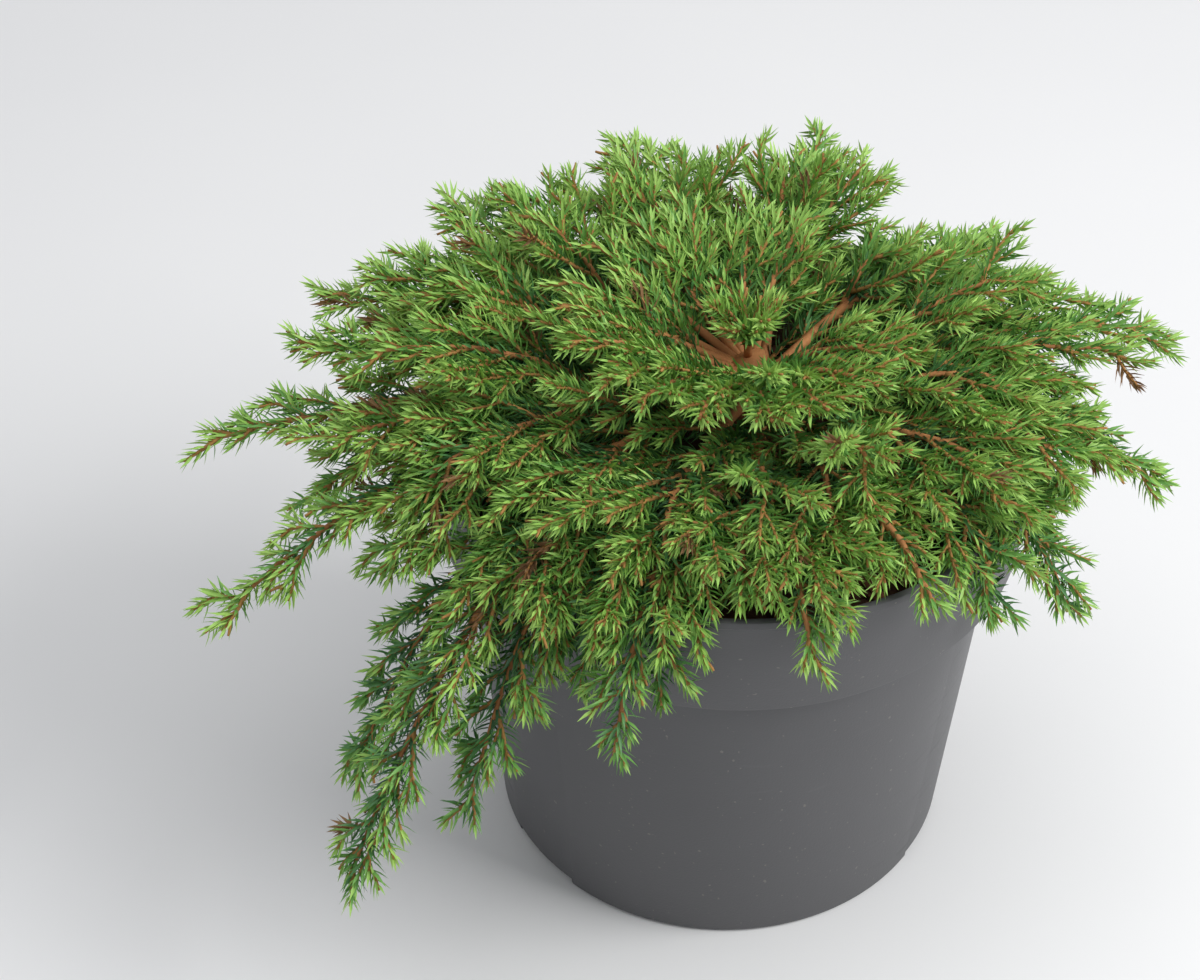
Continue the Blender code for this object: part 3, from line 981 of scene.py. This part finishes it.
    def _tuft(self, azimuth: float, rng: np.random.Generator) -> None:
        """Grows one inner limb and the tuft that it carries.

        Args:
            azimuth: where the limb points, in degrees.
            rng: the source of chance.
        """
        ray = outward(azimuth)
        start = self.stem_point(INNER_LEVEL)
        join = ray * INNER_END + UP * INNER_CREST
        tip = ray * TUFT_REACH + UP * TUFT_HEIGHT
        wood = bezier(start, start * 0.5 + join * 0.5, join, self.tuft_wood_points)
        middle = join * 0.5 + tip * 0.5 + UP * self.tuft_bow
        line = np.concatenate([wood[:-1], bezier(join, middle, tip, self.tuft_points)])
        self._limb(line, self.tuft_stalk, self.side_length * self.tuft_side_share, rng)

    def _limb(
        self, line: np.ndarray, stalk: Stalk, side_length: float, rng: np.random.Generator
    ) -> None:
        """Adds a limb along a line and grows its branches.

        Args:
            line: the line.
            stalk: its radii and where its needles and branches begin.
            side_length: the longest side shoot.
            rng: the source of chance.
        """
        limb = Shoot(line, stalk.root, stalk.tip, Rank.LIMB, stalk.bare)
        self.limbs.append(limb)
        self._branch(limb, stalk.first, side_length, rng, Rank.SIDE)

    def _branch(
        self, parent: Shoot, first: float, length: float, rng: np.random.Generator, rank: Rank
    ) -> None:
        """Grows shoots along a parent, left and right in turn, every third one upward.

        Args:
            parent: the shoot they grow from.
            first: share of its length where they begin.
            length: the longest new shoot.
            rng: the source of chance.
            rank: the new shoots' rank.
        """
        habit = self.habits[rank]
        count = int(parent.length() * (1.0 - first) / habit.step)
        if count < 1:
            return
        places = np.arange(count) + rng.uniform(*self.place_range, count)
        shares = first + (1.0 - first) * places / count
        origins, alongs = parent.at(np.minimum(shares, self.last_place))
        for k, (origin, along, share) in enumerate(zip(origins, alongs, shares)):
            aside = unit(np.cross(UP, along)) * (1.0 if k % 2 else -1.0)
            third = self.third_lift * (1.0 - share) if k % 3 == 2 else 0.0
            lift = rng.uniform(*self.lift_range) + third
            spread = math.radians(rng.uniform(*self.spread_range))
            heading = unit(along * math.cos(spread) + aside * math.sin(spread) + UP * lift)
            ebb = 1.0 - self.ebb * (share - first) / (1.0 - first)
            reach = length * (ebb * rng.uniform(*self.ebb_range))
            sag = UP * rng.uniform(*self.sag_range)
            bend = unit(heading * self.bend_heading + along * self.bend_along - sag)
            knee = origin + heading * reach * self.straight_share
            line = bezier(origin, knee, knee + bend * reach * self.bent_share, habit.points)
            line = clear_of_pot(line)
            dead = bool(rng.random() < habit.dead_share)
            shoot = Shoot(line, habit.radius, self.shoot_tip, rank, self.shoot_bare, dead)
            self.shoots.append(shoot)
            if rank is Rank.SIDE and reach > self.shortest_parent:
                self._branch(shoot, self.twig_first, self.twig_length, rng, Rank.TWIG)

    def shade_of(self, shoot: Shoot) -> float:
        """Tells how deep in the crown a shoot's tip lies.

        Args:
            shoot: the shoot.

        Returns:
            0 at the crown's surface to 1 deep inside.
        """
        tip = shoot.points[-1]
        beyond = max(float(np.hypot(tip[0], tip[1])) - self.flat_radius, 0.0)
        top = self.crown_top - self.fall * beyond**self.fall_power
        return float(np.clip((top - tip[2]) / self.deep, 0.0, 1.0))

    def build(self, nodes: list[str]) -> None:
        """Adds the bark, the twigs and the needles.

        Args:
            nodes: the names of the CAD nodes.
        """
        rng = np.random.default_rng(self.seed + 1)
        wood = Tubes(10, 0.07)
        self._add_stem(wood, rng)
        for limb in self.limbs:
            wood.add(limb, rng)
        twigs = Tubes(5)
        needles = Needles()
        for shoot in self.limbs + self.shoots:
            if shoot.rank is not Rank.LIMB:
                twigs.add(shoot, rng)
            needles.clothe(shoot, rng, self.shade_of(shoot))
        wooden = [name for name in nodes if name == "stem" or "bough" in name]
        leafy = [name for name in nodes if name.startswith(("plume", "tuft"))]
        bark = wood.mesh("stem_and_limbs")
        piece = add_piece("stem_and_limbs", bark, OLD_BARK.material())
        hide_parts(*wooden)
        add_piece("twigs", twigs.mesh("twigs"), YOUNG_BARK.material())
        for finish in NEEDLE_FINISHES:
            material = finish.material()
            for mesh in needles.meshes(finish.age):
                piece = add_piece(mesh.name, mesh, material)
                if finish.age is Fresh.MATURE:
                    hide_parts(*leafy)

    def _add_stem(self, wood: Tubes, rng: np.random.Generator) -> None:
        """Adds the stem with its root flare as short tubes of changing radius.

        Args:
            wood: the tubes to add to.
            rng: the source of chance.
        """
        rises = np.array(STEM_RISES)
        line = np.array([self.stem_point(rise) for rise in rises])
        flare = FLARE * np.exp(-rises / FLARE_HEIGHT)
        radii = STEM_FOOT_RADIUS - STEM_TAPER * rises / STEM_HEIGHT + flare
        for i in range(len(line) - 1):
            wood.add(Shoot(line[i : i + 2], radii[i], radii[i + 1], Rank.LIMB), rng)


@dataclass
class Pot:
    """Turned nursery pot with its notched foot."""

    sides: int = 160
    sharp_angle: float = 32.0
    merge_distance: float = 0.00001
    notch_size: tuple[float, float, float] = (0.010, 0.032, 0.0068)

    # Steps outward and upward from each corner of the outline
    inner_lip: tuple = ((0.0, -0.0007), (0.0003, -0.0002), (0.0008, 0.0))
    outer_lip: tuple = ((-0.0008, 0.0), (-0.0002, -0.0003), (0.0, -0.0009))
    under_lip: tuple = ((0.0, -0.0026), (-0.0007, -0.0034))
    ledge_edge: tuple = ((0.0001, 0.0012), (-0.0002, 0.0004), (-0.0008, 0.0))
    ledge_root: tuple = ((0.0004, 0.0), (0.0, -0.0005))
    foot: tuple = ((0.0, 0.0014), (-0.0004, 0.0004), (-0.0012, 0.0))

    def profile(self) -> list[tuple[float, float]]:
        """Lists the outline from the inside of the floor over the lip and down the outside.

        Returns:
            Radius and height of each point.
        """
        ledge = POT_HEIGHT - COLLAR_HEIGHT
        inner = BASE_RADIUS - WALL
        rounded = (
            (RIM_RADIUS - LIP_WIDTH, POT_HEIGHT, self.inner_lip),
            (RIM_RADIUS, POT_HEIGHT, self.outer_lip),
            (RIM_RADIUS, POT_HEIGHT, self.under_lip),
            (COLLAR_RADIUS, ledge, self.ledge_edge),
            (BODY_TOP_RADIUS, ledge, self.ledge_root),
            (BASE_RADIUS, 0.0, self.foot),
        )
        outline = [
            (0.0, FLOOR),
            (inner - FLOOR_CHAMFER, FLOOR),
            (inner, FLOOR + FLOOR_CHAMFER),
            (BODY_TOP_RADIUS - WALL, ledge + WALL),
            (COLLAR_RADIUS - WALL, ledge + 2.0 * WALL),
        ]
        for radius, height, steps in rounded:
            outline += [(radius + out, height + up) for out, up in steps]
        outline.append((0.0, 0.0))
        return outline

    def build(self) -> None:
        """Adds the pot."""
        points = [(radius, 0.0, height) for radius, height in self.profile()]
        mesh = bpy.data.meshes.new("pot_outline")
        mesh.from_pydata(points, [(i, i + 1) for i in range(len(points) - 1)], [])
        guide = link("pot_outline", mesh)
        screw = guide.modifiers.new("turn", "SCREW")
        screw.steps = screw.render_steps = self.sides
        screw.use_merge_vertices = True
        screw.merge_threshold = self.merge_distance
        cutters = [self._cutter(azimuth) for azimuth in NOTCH_AZIMUTHS]
        for cutter in cutters:
            cut = guide.modifiers.new("notch", "BOOLEAN")
            cut.operation = "DIFFERENCE"
            cut.object = cutter
        graph = bpy.context.evaluated_depsgraph_get()
        made = bpy.data.meshes.new_from_object(guide.evaluated_get(graph))
        for old in [guide, *cutters]:
            bpy.data.objects.remove(old, do_unlink=True)
        made.shade_smooth()
        made.set_sharp_from_angle(angle=math.radians(self.sharp_angle))
        piece = add_piece("nursery_pot", made, PotFinish().material())
        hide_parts("pot")

    def _cutter(self, azimuth: float) -> bpy.types.Object:
        """Makes the block that cuts one drain notch.

        Args:
            azimuth: where the notch lies, in degrees.

        Returns:
            The block.
        """
        shape = bmesh.new()
        bmesh.ops.create_cube(shape, size=1.0)
        bmesh.ops.scale(shape, vec=Vector(self.notch_size), verts=shape.verts)
        turn = Matrix.Rotation(math.radians(azimuth), 4, "Z")
        place = turn @ Matrix.Translation((BASE_RADIUS, 0.0, 0.0))
        bmesh.ops.transform(shape, matrix=place, verts=shape.verts)
        return link("notch_cutter", mesh_of(shape, "notch_cutter"))


@dataclass
class Medium:
    """Bark and peat that fill the pot."""

    seed: int = 5
    rings: int = 44
    sides: int = 120
    edge: float = 0.0978
    depth: float = 0.012
    relief: tuple[float, float] = (-0.0014, 0.0016)
    calm_radius: float = 0.014
    calm_width: float = 0.02

    # Chips of bark
    chips: int = 520
    chip_edge: float = 0.093
    chip_places: tuple[float, float] = (0.03, 1.0)
    chip_sizes: tuple[float, float] = (0.0022, 0.0078)
    chip_tilt: float = 0.5
    chip_spin: float = 6.283
    chip_widths: tuple[float, float] = (0.4, 0.8)
    chip_heights: tuple[float, float] = (0.22, 0.4)
    chip_rise: float = 0.0012
    chip_break: float = 0.12

    def build(self) -> None:
        """Adds the medium's surface and the chips of bark on it."""
        rng = np.random.default_rng(self.seed)
        mesh = mesh_from(np.array(self._vertices(rng)), self._faces(), "medium")
        piece = add_piece("growing_medium", mesh, SoilFinish().material())
        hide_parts("soil")
        add_piece("bark_chips", self._chips(rng), CHIP_BARK.material())

    def _vertices(self, rng: np.random.Generator) -> list[list[float]]:
        """Lays rings of uneven height, calm around the stem and flat at the wall.

        Args:
            rng: the source of chance.

        Returns:
            The centre, the rings outward, the lower edge and the lower centre.
        """
        vertices = [[0.0, 0.0, SOIL_HEIGHT]]
        for i in range(1, self.rings + 1):
            radius = self.edge * i / self.rings
            calm = min(max((radius - self.calm_radius) / self.calm_width, 0.0), 1.0)
            if i == self.rings:
                calm = 0.0
            for j in range(self.sides):
                angle = FULL_TURN * j / self.sides
                height = SOIL_HEIGHT + calm * rng.uniform(*self.relief)
                vertices.append([radius * math.cos(angle), radius * math.sin(angle), height])
        below = SOIL_HEIGHT - self.depth
        vertices += [[x, y, below] for x, y, _ in vertices[-self.sides :]]
        vertices.append([0.0, 0.0, below])
        return vertices

    def _faces(self) -> list[tuple[int, ...]]:
        """Joins the rings, the wall below the edge and the underside.

        Returns:
            The faces.
        """
        faces = [(0, 1 + j, 1 + (j + 1) % self.sides) for j in range(self.sides)]
        for i in range(self.rings):
            low = 1 + i * self.sides
            high = low + self.sides
            for j in range(self.sides):
                k = (j + 1) % self.sides
                faces.append((low + j, high + j, high + k, low + k))
        last = 1 + self.rings * self.sides
        centre = last + self.sides
        faces += [(last + j, centre, last + (j + 1) % self.sides) for j in range(self.sides)]
        return faces

    def _chips(self, rng: np.random.Generator) -> bpy.types.Mesh:
        """Scatters broken chips of bark over the surface.

        Args:
            rng: the source of chance.

        Returns:
            The chips as one mesh.
        """
        shape = bmesh.new()
        for _ in range(self.chips):
            radius = self.chip_edge * math.sqrt(rng.uniform(*self.chip_places))
            angle = rng.uniform(0.0, FULL_TURN)
            size = rng.uniform(*self.chip_sizes)
            made = bmesh.ops.create_icosphere(shape, subdivisions=1, radius=0.5)
            roll = Matrix.Rotation(rng.uniform(-self.chip_tilt, self.chip_tilt), 4, "X")
            tilt = roll @ Matrix.Rotation(rng.uniform(-self.chip_tilt, self.chip_tilt), 4, "Y")
            spin = Matrix.Rotation(rng.uniform(0.0, self.chip_spin), 4, "Z")
            width = size * rng.uniform(*self.chip_widths)
            height = size * rng.uniform(*self.chip_heights)
            flat = Matrix.Diagonal((size, width, height, 1.0))
            rest = SOIL_HEIGHT + self.chip_rise
            spot = Matrix.Translation((radius * math.cos(angle), radius * math.sin(angle), rest))
            bmesh.ops.transform(shape, matrix=spot @ spin @ tilt @ flat, verts=made["verts"])
            for vertex in made["verts"]:
                vertex.co += Vector(rng.uniform(-self.chip_break, self.chip_break, 3) * size)
        return mesh_of(shape, "bark_chips")


@dataclass(frozen=True)
class SoftLight:
    """Square area light that faces the plant."""

    name: str
    place: tuple[float, float, float]
    size: float
    power: float
    aim: tuple[float, float, float] = (0.0, 0.0, 0.12)

    def build(self) -> None:
        """Adds the light."""
        data = bpy.data.lights.new(self.name, "AREA")
        data.size = self.size
        data.energy = self.power
        light = link(self.name, data)
        light.location = self.place
        ray = Vector(self.aim) - Vector(self.place)
        light.rotation_euler = ray.to_track_quat("-Z", "Y").to_euler()


@dataclass
class Studio:
    """Pale floor, soft light and the camera at the photograph's angle."""

    # Place and downward pitch of the camera, its focal length and frame width in the
    # photograph's pixels, and the sensor's width in millimetres
    place: tuple[float, float, float] = (-0.0443, -0.675, 0.730)
    pitch: float = 0.722
    focal_pixels: float = 2647.0
    frame_pixels: float = 1200.0
    sensor: float = 36.0

    lights: tuple[SoftLight, ...] = (
        SoftLight("key", (1.15, -0.35, 1.15), 0.9, 20.0),
        SoftLight("fill", (-1.1, -0.7, 1.1), 1.3, 1.5),
        SoftLight("top", (0.0, 0.2, 1.7), 1.5, 10.0),
    )
    sky: tuple[float, float, float, float] = (0.93, 0.95, 1.0, 1.0)
    sky_strength: float = 0.42
    floor_size: float = 6.0
    floor_drop: float = 0.0004

    def build(self) -> None:
        """Adds the camera, the floor, the lights and the sky."""
        self._camera()
        self._floor()
        for light in self.lights:
            light.build()
        world = bpy.data.worlds.new("studio")
        world.use_nodes = True
        background = world.node_tree.nodes["Background"]
        background.inputs["Color"].default_value = self.sky
        background.inputs["Strength"].default_value = self.sky_strength
        bpy.context.scene.world = world
        bpy.context.scene.view_settings.view_transform = "Standard"

    def _camera(self) -> None:
        """Adds the camera."""
        data = bpy.data.cameras.new("camera")
        data.sensor_width = self.sensor
        data.lens = self.sensor * self.focal_pixels / self.frame_pixels
        camera = link("camera", data)
        camera.location = self.place
        camera.rotation_euler = (math.pi / 2.0 - self.pitch, 0.0, 0.0)
        bpy.context.scene.camera = camera

    def _floor(self) -> None:
        """Adds the pale floor."""
        shape = bmesh.new()
        bmesh.ops.create_grid(shape, x_segments=2, y_segments=2, size=self.floor_size)
        mesh = mesh_of(shape, "floor")
        mesh.materials.append(FloorFinish().material())
        floor = link("floor", mesh)
        floor.location.z = -self.floor_drop


def main() -> None:
    """Builds the studio, the pot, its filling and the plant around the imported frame."""
    logging.basicConfig(level=logging.INFO, format="%(message)s")
    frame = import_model()
    Studio().build()
    Pot().build()
    Medium().build()
    crown = Crown()
    crown.grow()
    crown.build(list(frame["nodes"]))


if __name__ == "__main__":
    main()
